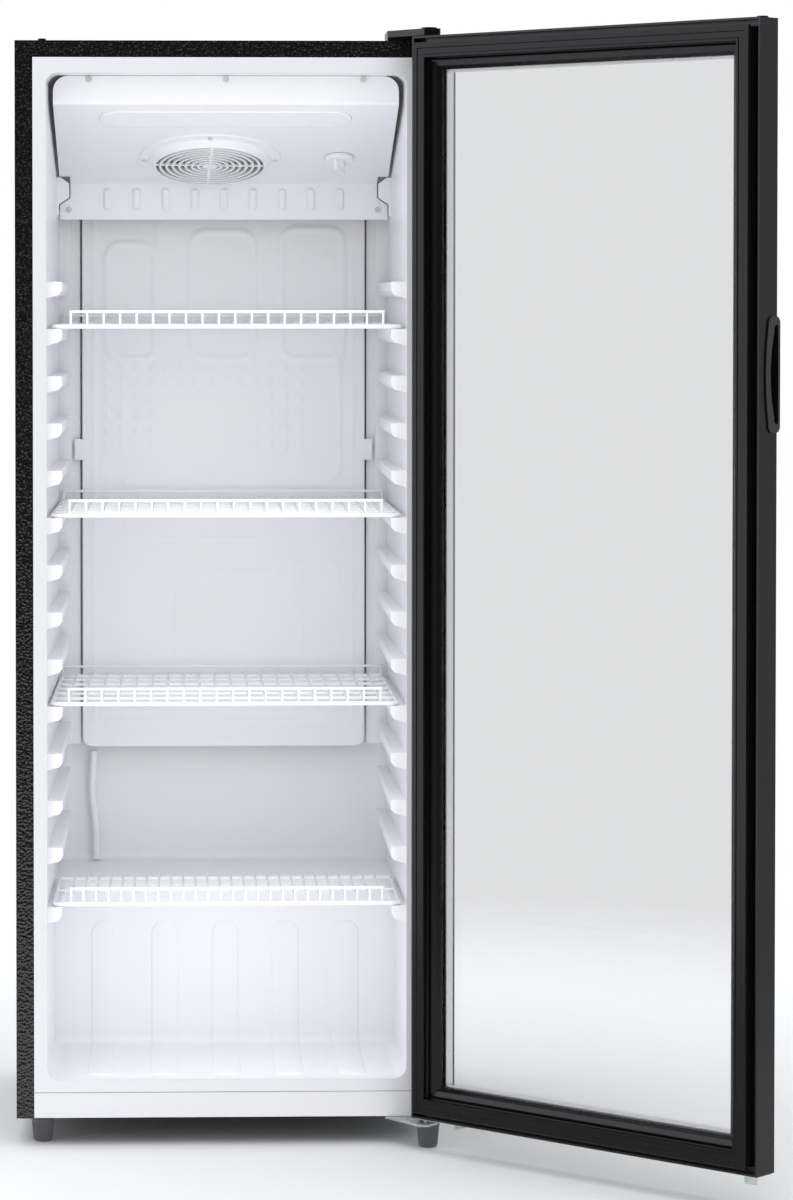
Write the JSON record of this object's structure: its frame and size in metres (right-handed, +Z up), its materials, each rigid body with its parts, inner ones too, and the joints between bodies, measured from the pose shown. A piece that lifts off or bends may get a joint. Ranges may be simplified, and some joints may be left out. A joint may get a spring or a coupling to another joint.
{
  "type": "glass door merchandiser",
  "caption": "Upright refrigerated drinks display cabinet with a hinged glass door, sliding wire shelves, fan hood, rear condenser and levelling feet.",
  "frame": {"origin": "on the floor, under the middle of the cabinet's front edge (X = 0, Y = 0, Z = 0)", "axes": "+Z up, the open front faces -Y, +X towards the hinge side"},
  "size_m": [1.0263, 1.0242, 1.5895],
  "materials": {
    "black_embossed_steel": "leather-grain black paint",
    "black_paint": "satin black paint",
    "zinc_steel": "zinc plated",
    "white_plastic": "glossy white moulded plastic",
    "white_paint": "white paint",
    "white_wire": "white plastic coated wire",
    "foam": "rigid foam",
    "black_plastic": "satin black plastic",
    "black_rubber": "glossy black seal",
    "grey_rubber": "dark grey",
    "copper": "copper tube",
    "aluminium": "mill finish",
    "glass_clear": "clear",
    "lamp_diffuser": "translucent white",
    "machine_black": "black enamel"
  },
  "bodies": {
    "cabinet": {"cabinet_wrapper": "black_embossed_steel", "rear_panel": "zinc_steel", "compressor_bulkhead": "zinc_steel", "base_pan": "black_paint", "kick_panel": "white_paint", "inner_liner": "white_plastic", "insulation": "foam", "evaporator_plate": "white_paint", "evaporator_clips": "white_plastic", "suction_tube": "white_plastic", "air_hood": "white_plastic", "hood_screws": "zinc_steel", "fan_grille": "white_plastic", "fan_motor": "machine_black", "fan_bracket": "white_plastic", "thermostat_body": "black_plastic", "lamp_lens": "lamp_diffuser", "lamp_board": "aluminium", "compressor": "machine_black", "compressor_grommets": "grey_rubber", "compressor_bolts": "zinc_steel", "compressor_relay_cover": "black_plastic", "drip_tray": "black_plastic", "discharge_tube": "copper", "filter_drier": "copper", "condenser_coil": "machine_black", "condenser_wires": "machine_black", "rear_cover": "zinc_steel", "cord_gland": "black_plastic", "rear_screws": "zinc_steel", "hinge_bracket_bottom": "zinc_steel", "hinge_pins": "zinc_steel", "hinge_bracket_top": "black_paint", "hinge_cover_top": "black_plastic", "hinge_bolts": "zinc_steel", "foot_studs": "zinc_steel", "hinge_hole_plug": "black_plastic"},
    "door": {"door_stile_hinge": "black_plastic", "door_stile_handle": "black_plastic", "door_rail_top": "black_plastic", "door_rail_bottom": "black_plastic", "door_seal_carrier": "black_plastic", "door_gasket": "black_rubber", "glass_inner": "glass_clear", "glass_outer": "glass_clear", "glass_spacer": "aluminium", "handle_grip": "black_plastic", "hinge_bushes": "black_plastic", "door_end_plates": "zinc_steel", "door_hole_plugs": "black_plastic"},
    "fan": {"fan_blades": "black_plastic"},
    "knob": {"thermostat_knob": "white_plastic"},
    "shelf_1": {"shelf_1": "white_wire"},
    "shelf_2": {"shelf_2": "white_wire"},
    "shelf_3": {"shelf_3": "white_wire"},
    "shelf_4": {"shelf_4": "white_wire"},
    "foot_front_left": {"foot_front_left": "grey_rubber"},
    "foot_front_right": {"foot_front_right": "grey_rubber"},
    "foot_rear_left": {"foot_rear_left": "grey_rubber"},
    "foot_rear_right": {"foot_rear_right": "grey_rubber"}
  },
  "joints": [
    {"name": "door_hinge", "type": "hinge", "parent": "cabinet", "child": "door", "pos_m": [0.285, -0.035, 0.8], "axis": [0, 0, 1], "range_deg": [-136.8, 13.2]},
    {"name": "fan_spin", "type": "hinge", "parent": "cabinet", "child": "fan", "pos_m": [-0.022, 0.29, 1.41683], "axis": [0, 0.3019, 0.9533], "continuous": true},
    {"name": "thermostat_turn", "type": "hinge", "parent": "cabinet", "child": "knob", "pos_m": [0.1705, 0.284, 1.41873], "axis": [0, 0.3019, 0.9533], "range_deg": [0, 300]},
    {"name": "shelf_1_slide", "type": "slide", "parent": "cabinet", "child": "shelf_1", "axis": [0, -1, 0], "range_m": [0, 0.3]},
    {"name": "shelf_2_slide", "type": "slide", "parent": "cabinet", "child": "shelf_2", "axis": [0, -1, 0], "range_m": [0, 0.3]},
    {"name": "shelf_3_slide", "type": "slide", "parent": "cabinet", "child": "shelf_3", "axis": [0, -1, 0], "range_m": [0, 0.3]},
    {"name": "shelf_4_slide", "type": "slide", "parent": "cabinet", "child": "shelf_4", "axis": [0, -1, 0], "range_m": [0, 0.2]},
    {"name": "foot_front_left_height", "type": "slide", "parent": "cabinet", "child": "foot_front_left", "axis": [0, 0, -1], "range_m": [0, 0.018]},
    {"name": "foot_front_right_height", "type": "slide", "parent": "cabinet", "child": "foot_front_right", "axis": [0, 0, -1], "range_m": [0, 0.018]},
    {"name": "foot_rear_left_height", "type": "slide", "parent": "cabinet", "child": "foot_rear_left", "axis": [0, 0, -1], "range_m": [0, 0.018]},
    {"name": "foot_rear_right_height", "type": "slide", "parent": "cabinet", "child": "foot_rear_right", "axis": [0, 0, -1], "range_m": [0, 0.018]}
  ]
}
